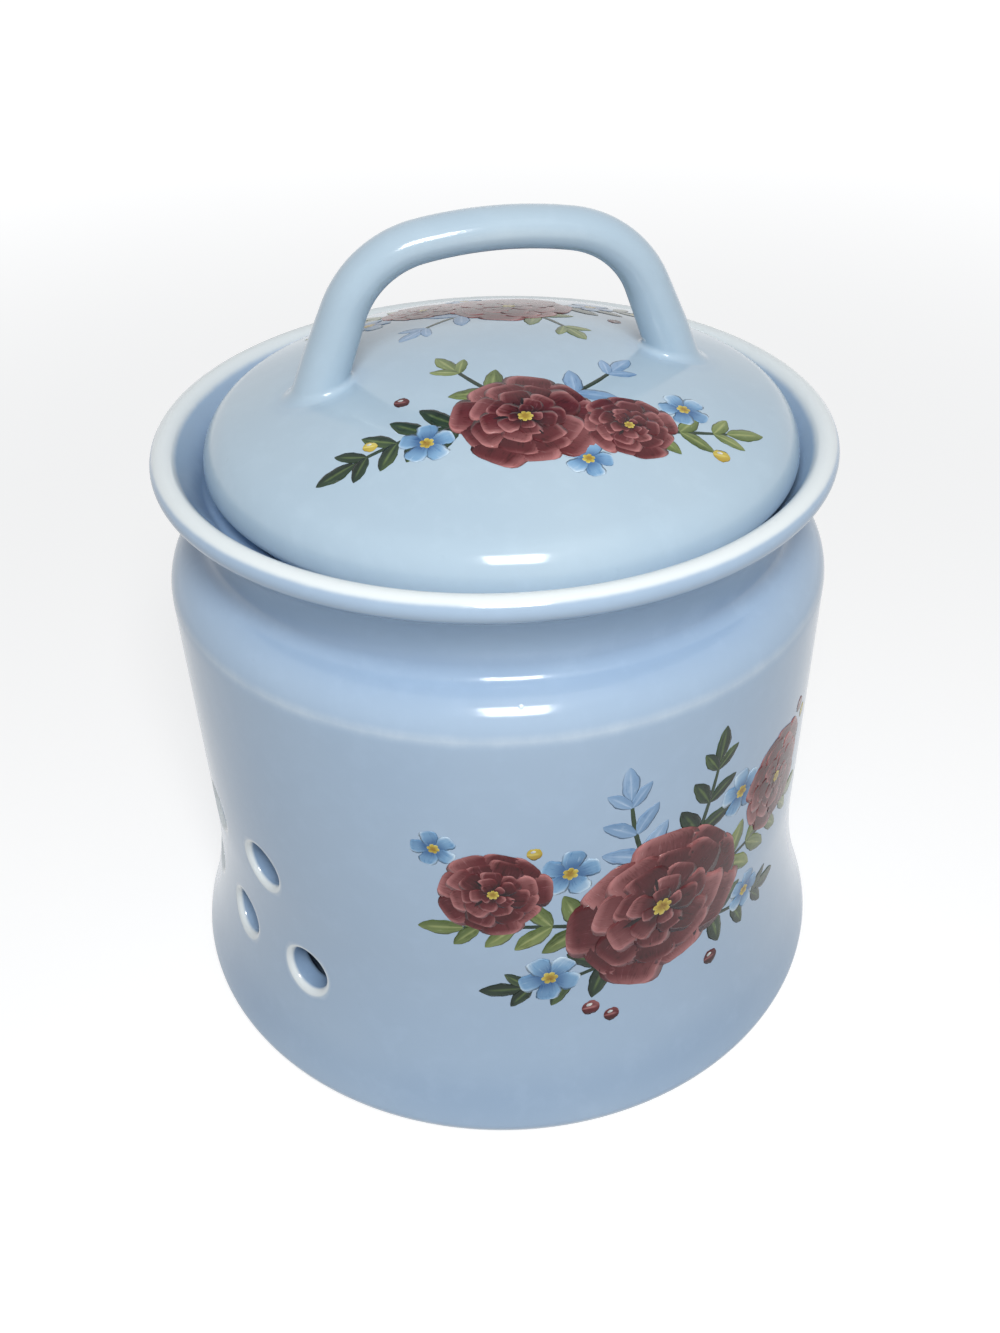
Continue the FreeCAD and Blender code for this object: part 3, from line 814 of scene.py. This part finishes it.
class Finish:
    """A material's node tree."""

    def __init__(self, name):
        self.material = bpy.data.materials.new(name)
        self.material.use_nodes = True
        self.tree = self.material.node_tree
        self.tree.nodes.clear()
        self.end = self.tree.nodes.new("ShaderNodeOutputMaterial")

    def node(self, kind, settings=None, inputs=None, output=0):
        """Adds a node: its settings come first, then the values or links of its sockets."""
        node = self.tree.nodes.new(kind)
        for key, value in (settings or {}).items():
            setattr(node, key, value)
        for key, value in (inputs or {}).items():
            if isinstance(value, Signal):
                self.tree.links.new(value.socket, node.inputs[key])
            else:
                node.inputs[key].default_value = value
        return Signal(self, node.outputs[output])

    def blend(self, factor, first, second):
        """Mixes two colours, each a link or three numbers."""
        first, second = (c if isinstance(c, Signal) else (*c, 1) for c in (first, second))
        settings = {"data_type": "RGBA", "blend_type": "MIX", "clamp_factor": True}
        return self.node("ShaderNodeMix", settings, {0: factor, 6: first, 7: second}, 2)

    def place(self):
        """Place on the object, in metres."""
        return self.node("ShaderNodeTexCoord", output=3)

    def noise(self, vector, scale, detail=2.0, rough=0.5):
        """Cloudy noise from 0 to 1, about 0.5."""
        inputs = {"Vector": vector, "Scale": scale, "Detail": detail, "Roughness": rough}
        return self.node("ShaderNodeTexNoise", None, inputs)

    def cells(self, vector, scale, output=0):
        """Distance to the nearest scattered point, or by output 1 the colour of its cell."""
        return self.node("ShaderNodeTexVoronoi", None, {"Vector": vector, "Scale": scale}, output)

    def value(self, name):
        """A number that the piece carries at each of its points."""
        return self.node("ShaderNodeAttribute", {"attribute_name": name}, output=2)

    def ramp(self, factor, low, high):
        """Rises smoothly from 0 at low to 1 at high."""
        inputs = {"Value": factor, "From Min": low, "From Max": high}
        return self.node("ShaderNodeMapRange", {"interpolation_type": "SMOOTHSTEP"}, inputs)

    def bump(self, height, distance, strength):
        """Raised detail: a height from 0 to 1 that stands the distance high, in metres."""
        inputs = {"Strength": strength, "Distance": distance, "Height": height}
        return self.node("ShaderNodeBump", None, inputs)

    def finish(self, shader):
        """Ends the tree with its shader and returns the material."""
        self.tree.links.new(shader.socket, self.end.inputs["Surface"])
        return self.material


def glaze(name, plain, pooled_and_shaded, break_and_highlight, mottle):
    """Glossy stoneware glaze: pale and creamy where it runs thin over edges and, on the jar, where a
    highlight is painted; deeper blue where it pools and, on the jar, where shade is painted.

    Soft clouds and finer mottling vary it, a few dark iron specks show, and pinholes and a ripple mark it.
    """
    f = Finish(name)
    place = f.place()
    clouds = f.noise(place, 26.0, 2.0)
    mottling = f.noise(place, 190.0, 4.0, 0.6)
    grain = f.noise(place, 900.0, 2.0)
    rim = f.value("thin_and_highlight") + (mottling - 0.5) * 0.28 * f.ramp(f.value("thin_and_highlight"), 0.0, 0.3)
    pool_and_shade = f.value("pool_and_shade") + (clouds - 0.5) * 0.35
    deeper = tuple(channel * share for channel, share in zip(plain, (0.90, 0.93, 0.965)))
    lighter = tuple(min(1, channel * 1.12) for channel in plain)
    iron = (0.055, 0.050, 0.060)
    colour = f.blend(f.ramp(clouds, 0.25, 0.75) * mottle, plain, deeper)
    # Deeper blue where the glaze pools; under the jar's lip and low on its skirt this is also painted shade
    colour = f.blend(f.ramp(pool_and_shade, 0.05, 0.95) * 0.85, colour, pooled_and_shaded)
    colour = f.blend(f.ramp(mottling, 0.45, 0.75) * 0.22, colour, lighter)
    # Pale where the glaze breaks over an edge; over the jar's lip top this is also a painted highlight
    colour = f.blend(f.ramp(rim, 0.12, 0.95), colour, break_and_highlight)
    pick = f.node("ShaderNodeSeparateColor", None, {0: f.cells(place, 95.0, 1)})
    speck = f.ramp(f.cells(place, 95.0), 0.075, 0.035) * (pick > 0.965)
    colour = f.blend(speck * 0.8, colour, iron)
    pinhole = f.ramp(f.cells(place, 140.0), 0.07, 0.02)
    rough = 0.085 + 0.05 * clouds + 0.05 * mottling + 0.18 * speck
    height = clouds + mottling * 0.10 + grain * 0.03 - pinhole * 0.12
    inputs = {
        "Base Color": colour,
        "Roughness": rough,
        "Normal": f.bump(height, 0.00028, 0.8),
        "IOR": 1.48,
        "Specular IOR Level": 0.38,
        "Coat Weight": 0.10,
        "Coat Roughness": 0.04,
    }
    return f.finish(f.node("ShaderNodeBsdfPrincipled", None, inputs))


def brushwork(name):
    """Paint under a clear glaze: the stroke's own colour with bristle marks along it and dry edges."""
    f = Finish(name)
    colour = f.node("ShaderNodeAttribute", {"attribute_name": "paint"})
    strokes = f.node("ShaderNodeUVMap", {"uv_map": "strokes"})
    drawn_out = f.node("ShaderNodeVectorMath", {"operation": "MULTIPLY"}, {0: strokes, 1: (3.0, 26.0, 1.0)})
    bristle = f.noise(drawn_out, 1.0, 3.0, 0.6)
    dabs = f.noise(f.place(), 420.0, 3.0, 0.6)
    dry = f.ramp(bristle * 0.65 + dabs * 0.35, 0.57, 0.72)
    wet = f.ramp(bristle * 0.5 + dabs * 0.5, 0.50, 0.34)
    lighter = f.node("ShaderNodeGamma", None, {0: colour, 1: 0.52})
    darker = f.node("ShaderNodeGamma", None, {0: colour, 1: 1.40})
    colour = f.blend(dry * 0.7, colour, lighter)
    colour = f.blend(wet * 0.85, colour, darker)
    inputs = {
        "Base Color": colour,
        "Roughness": 0.13 + 0.12 * dabs,
        "Normal": f.bump(bristle, 0.00003, 0.6),
        "IOR": 1.45,
        "Specular IOR Level": 0.28,
    }
    return f.finish(f.node("ShaderNodeBsdfPrincipled", None, inputs))


# Colours of the glaze: plain, where it pools, and where it breaks over an edge; on the jar the second also
# paints shade under the lip and low on the skirt, and the third a highlight over the lip's top
body_colours = (0.388, 0.515, 0.672), (0.235, 0.360, 0.550), (0.780, 0.840, 0.865)
lid_colours = (0.455, 0.580, 0.682), (0.290, 0.415, 0.580), (0.700, 0.770, 0.780)
blue_glaze = glaze("blue_body_glaze", *body_colours, 0.5)
lid_glaze = glaze("blue_lid_glaze", *lid_colours, 0.8)
paint = brushwork("underglaze_paint")

jar = make_jar()
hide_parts("jar")
jar.data.materials.append(blue_glaze)

lid = make_lid()
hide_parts("lid")
lid.data.materials.append(lid_glaze)

handle = make_handle()
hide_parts("lid_handle")
handle.data.materials.append(lid_glaze)

# A garland hangs on the jar's right side: one big bloom and two small ones, blue flowers, sprigs and berries.
# Each begins with its place on the sheet and goes on with the values that its function names
garland = (
    sprig(-9, 47, 158, 27, 4, 9.5, 7, OLIVE)
    + sprig(9, 48, 22, 27, 4, 9.5, -7, OLIVE)
    + sprig(-6, 40, 205, 21, 3, 9.0, -4, DARK_GREEN, 0.4)
    + sprig(8, 40, -28, 20, 3, 9.0, 4, DARK_GREEN, 0.4)
    + sprig(-3, 58, 112, 19, 3, 8.5, -3, PALE_BLUE, 0.2)
    + sprig(5, 58, 66, 20, 3, 8.5, 3, DARK_GREEN, 0.2)
    + rosette(0, 48, 17.5, 12)
    + rosette(-30.5, 59, 9.5, 40, 3.2)
    + rosette(29.5, 61, 10.5, 75, 3.2)
    + blossom(-17.5, 62.5, 5.2, 10)
    + blossom(-21, 37, 5.6, 50)
    + blossom(17, 66, 5.0, 25)
    + blossom(22, 37.5, 4.6, 0)
    + blossom(-40, 69, 3.9, 33)
    + berry(-13.5, 27.5, 1.7)
    + berry(-9.6, 24.6, 1.5)
    + berry(12.5, 27, 1.7)
    + berry(38.5, 71.5, 1.6)
    + berry(41.5, 68, 1.4, YELLOW)
    + berry(-23.5, 68, 1.3, YELLOW)
)

# The lid has a smaller one before the handle and the same again behind it
wreath = (
    sprig(-6, 0, 186, 22, 4, 8.0, 5, DARK_GREEN)
    + sprig(8, 0, -6, 25, 4, 8.0, 6, OLIVE)
    + sprig(-3, 6, 140, 13, 2, 7.5, -2, OLIVE, 0.4)
    + sprig(6, 6, 42, 14, 2, 7.5, 2, PALE_BLUE, 0.4)
    + rosette(0, 1, 11.5, 5)
    + rosette(16.5, 0.5, 7.6, 55, 3.4)
    + blossom(-15.5, -4.5, 4.4, 20)
    + blossom(26, 7.5, 4.2, 48)
    + blossom(9.5, -8.5, 3.8, 5)
    + berry(-20, 7, 1.3)
    + berry(31, -3, 1.4, YELLOW)
    + berry(-24.5, -3.5, 1.2, YELLOW)
)
# Each spray with its sheet and the azimuth of its middle, in degrees
sprays = (
    ("jar_garland", "jar", garland, on_jar, 84.0),
    ("lid_front_spray", "lid", shifted(wreath, 4, -24), on_lid, VIEW_TURN),
    ("lid_back_spray", "lid", shifted(wreath, 0, -27), on_lid, VIEW_TURN + 176),
)
for spray in sprays:
    paint_on(*spray).data.materials.append(paint)

# The camera and the gloss see the floor and the background by these rays
SEEN_RAYS = ("Is Camera Ray", "Is Glossy Ray", "Is Transmission Ray")


def make_floor():
    """A plain pale floor that the camera and the gloss see as white, with the object's shadow on it."""
    mesh = bpy.data.meshes.new("floor")
    mesh.from_pydata([(-4, -4, 0), (4, -4, 0), (4, 4, 0), (-4, 4, 0)], [], [(0, 1, 2, 3)])
    floor = bpy.data.objects.new("floor", mesh)
    bpy.context.scene.collection.objects.link(floor)
    f = Finish("pale_floor")
    rays = f.tree.nodes.new("ShaderNodeLightPath")
    seen = sum(Signal(f, rays.outputs[key]) for key in SEEN_RAYS)
    pale = f.node("ShaderNodeBsdfDiffuse", None, {"Color": (0.58, 0.58, 0.58, 1)})
    away = f.node("ShaderNodeVectorMath", {"operation": "LENGTH"}, {0: f.place()}, 1)
    strength = seen * (0.58 + 0.30 * f.ramp(away, 0.12, 0.85))
    glow = f.node("ShaderNodeEmission", None, {"Color": (1, 1, 1, 1), "Strength": strength})
    mesh.materials.append(f.finish(f.node("ShaderNodeAddShader", None, {0: pale, 1: glow})))


def make_sky():
    """Even pale light; a white background where the camera or the gloss looks past the floor."""
    world = bpy.data.worlds.new("studio")
    bpy.context.scene.world = world
    world.use_nodes = True
    tree = world.node_tree
    tree.nodes.clear()
    rays = tree.nodes.new("ShaderNodeLightPath")
    plain, white = (tree.nodes.new("ShaderNodeBackground") for _ in range(2))
    mix = tree.nodes.new("ShaderNodeMixShader")
    end = tree.nodes.new("ShaderNodeOutputWorld")
    plain.inputs[0].default_value, plain.inputs[1].default_value = (0.93, 0.96, 1.0, 1), 0.30
    white.inputs[0].default_value, white.inputs[1].default_value = (1, 1, 1, 1), 1.0
    most = rays.outputs[SEEN_RAYS[0]]
    for key in SEEN_RAYS[1:]:
        larger = tree.nodes.new("ShaderNodeMath")
        larger.operation = "MAXIMUM"
        tree.links.new(most, larger.inputs[0])
        tree.links.new(rays.outputs[key], larger.inputs[1])
        most = larger.outputs[0]
    tree.links.new(most, mix.inputs[0])
    tree.links.new(plain.outputs[0], mix.inputs[1])
    tree.links.new(white.outputs[0], mix.inputs[2])
    tree.links.new(mix.outputs[0], end.inputs[0])


def make_lamp(name, azimuth, elevation, distance, size, watts, tint):
    """A square soft lamp that faces the object. Its azimuth is counted to the right of the camera."""
    lamp = bpy.data.lights.new(name, "AREA")
    lamp.shape, lamp.size, lamp.energy, lamp.color = "SQUARE", size, watts, tint
    rise = math.radians(elevation)
    x, y = direction(VIEW_TURN + azimuth) * math.cos(rise)
    away = Vector((x, y, math.sin(rise)))
    middle = Vector((0, 0, 0.07))
    holder = bpy.data.objects.new(name, lamp)
    bpy.context.scene.collection.objects.link(holder)
    facing = away.to_track_quat("Z", "Y").to_matrix().to_4x4()
    holder.matrix_world = Matrix.Translation(middle + away * distance) @ facing


def make_camera():
    """The photograph's view, 205 mm in front of the jar's axis and 214 mm up, pitched down 0.6325 radians."""
    data = bpy.data.cameras.new("camera")
    data.sensor_fit, data.sensor_height, data.lens = "VERTICAL", 36.0, 33.777
    # The photograph's optical middle lies a little right of its centre and above it
    data.shift_x, data.shift_y = -0.0107, -0.0103
    data.clip_start = 0.01
    camera = bpy.data.objects.new("camera", data)
    bpy.context.scene.collection.objects.link(camera)
    yaw, pitch, roll = 0.0017, 0.6325, -0.0200
    ahead = Vector((math.sin(yaw) * math.cos(pitch), math.cos(yaw) * math.cos(pitch), -math.sin(pitch)))
    right = Vector((math.cos(yaw), -math.sin(yaw), 0))
    up = right.cross(ahead)
    right, up = math.cos(roll) * right + math.sin(roll) * up, math.cos(roll) * up - math.sin(roll) * right
    stand = Matrix.Identity(4)
    for column, axis in enumerate((right, up, -ahead, Vector((0.00236, -0.20516, 0.21450)))):
        for row in range(3):
            stand[row][column] = axis[row]
    camera.matrix_world = Matrix.Rotation(math.radians(VIEW_TURN), 4, "Z") @ stand
    bpy.context.scene.camera = camera


make_floor()
make_sky()
make_lamp("key_lamp", 5, 47, 0.44, 0.12, 1.30, (1.0, 0.99, 0.97))
make_lamp("soft_fill", 30, 60, 1.2, 0.6, 0.6, (0.96, 0.98, 1.0))
make_camera()
bpy.context.scene.view_settings.view_transform = "Standard"
